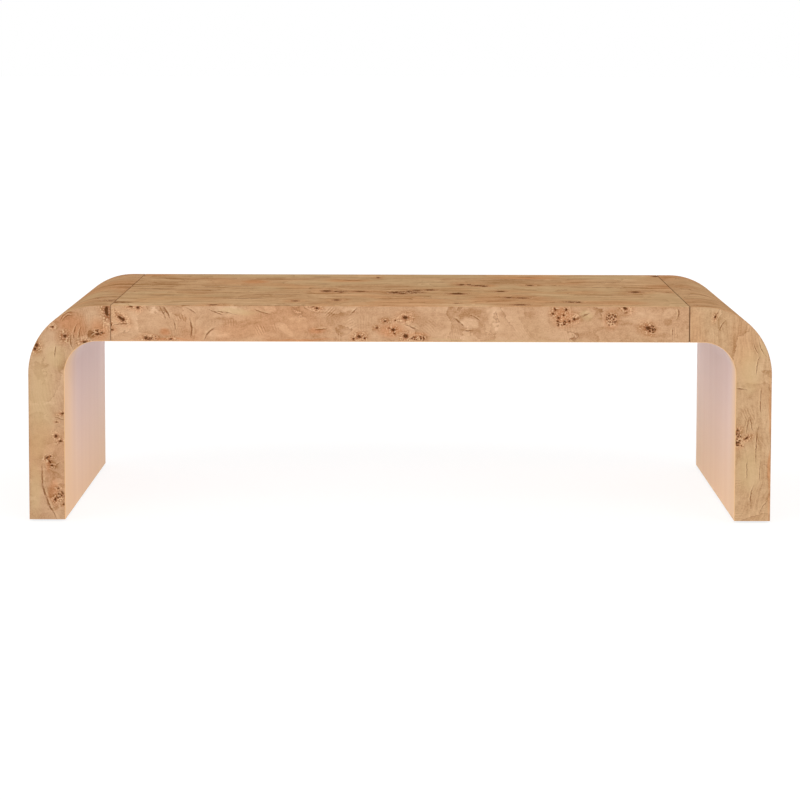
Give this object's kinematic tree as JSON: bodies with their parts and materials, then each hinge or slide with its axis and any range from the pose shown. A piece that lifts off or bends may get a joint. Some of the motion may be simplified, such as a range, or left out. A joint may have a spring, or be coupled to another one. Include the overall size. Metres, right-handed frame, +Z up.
{
  "type": "waterfall coffee table",
  "caption": "Low rectangular coffee table whose veneered top curves down at both ends into full-width slab legs, in three knock-down modules.",
  "frame": {"origin": "on the floor, under the middle of the top", "axes": "+X along the table, +Y from the front to the back, +Z up"},
  "size_m": [1.4, 0.7, 0.411],
  "materials": {
    "burl_veneer": "satin lacquer",
    "plain_veneer": "satin lacquer",
    "fibreboard": "raw",
    "birch_ply": "raw",
    "plated_steel": "zinc plated",
    "screw_steel": "zinc plated",
    "nylon": "matte"
  },
  "bodies": {
    "root": {"beam_top_veneer": "burl_veneer", "beam_front_veneer": "burl_veneer", "beam_back_veneer": "burl_veneer", "beam_underside_veneer": "plain_veneer", "beam_top_panel": "fibreboard", "beam_bottom_panel": "fibreboard", "beam_front_rail": "fibreboard", "beam_back_rail": "fibreboard", "beam_left_block": "fibreboard", "beam_right_block": "fibreboard", "beam_left_rib": "fibreboard", "beam_centre_rib": "fibreboard", "beam_right_rib": "fibreboard", "left_leg_outer_veneer": "burl_veneer", "left_leg_front_veneer": "burl_veneer", "left_leg_back_veneer": "burl_veneer", "left_leg_inner_veneer": "plain_veneer", "left_leg_outer_skin": "fibreboard", "left_leg_inner_skin": "fibreboard", "left_leg_front_former": "fibreboard", "left_leg_back_former": "fibreboard", "left_leg_front_rib": "fibreboard", "left_leg_back_rib": "fibreboard", "left_leg_seam_block": "fibreboard", "left_leg_foot_block": "fibreboard", "left_front_glide": "nylon", "left_back_glide": "nylon", "left_seam_spline": "birch_ply", "left_joint_plates": "plated_steel", "left_plate_screws": "screw_steel", "right_leg_outer_veneer": "burl_veneer", "right_leg_front_veneer": "burl_veneer", "right_leg_back_veneer": "burl_veneer", "right_leg_inner_veneer": "plain_veneer", "right_leg_outer_skin": "fibreboard", "right_leg_inner_skin": "fibreboard", "right_leg_front_former": "fibreboard", "right_leg_back_former": "fibreboard", "right_leg_front_rib": "fibreboard", "right_leg_back_rib": "fibreboard", "right_leg_seam_block": "fibreboard", "right_leg_foot_block": "fibreboard", "right_front_glide": "nylon", "right_back_glide": "nylon", "right_seam_spline": "birch_ply", "right_joint_plates": "plated_steel", "right_plate_screws": "screw_steel"}
  },
  "joints": []
}
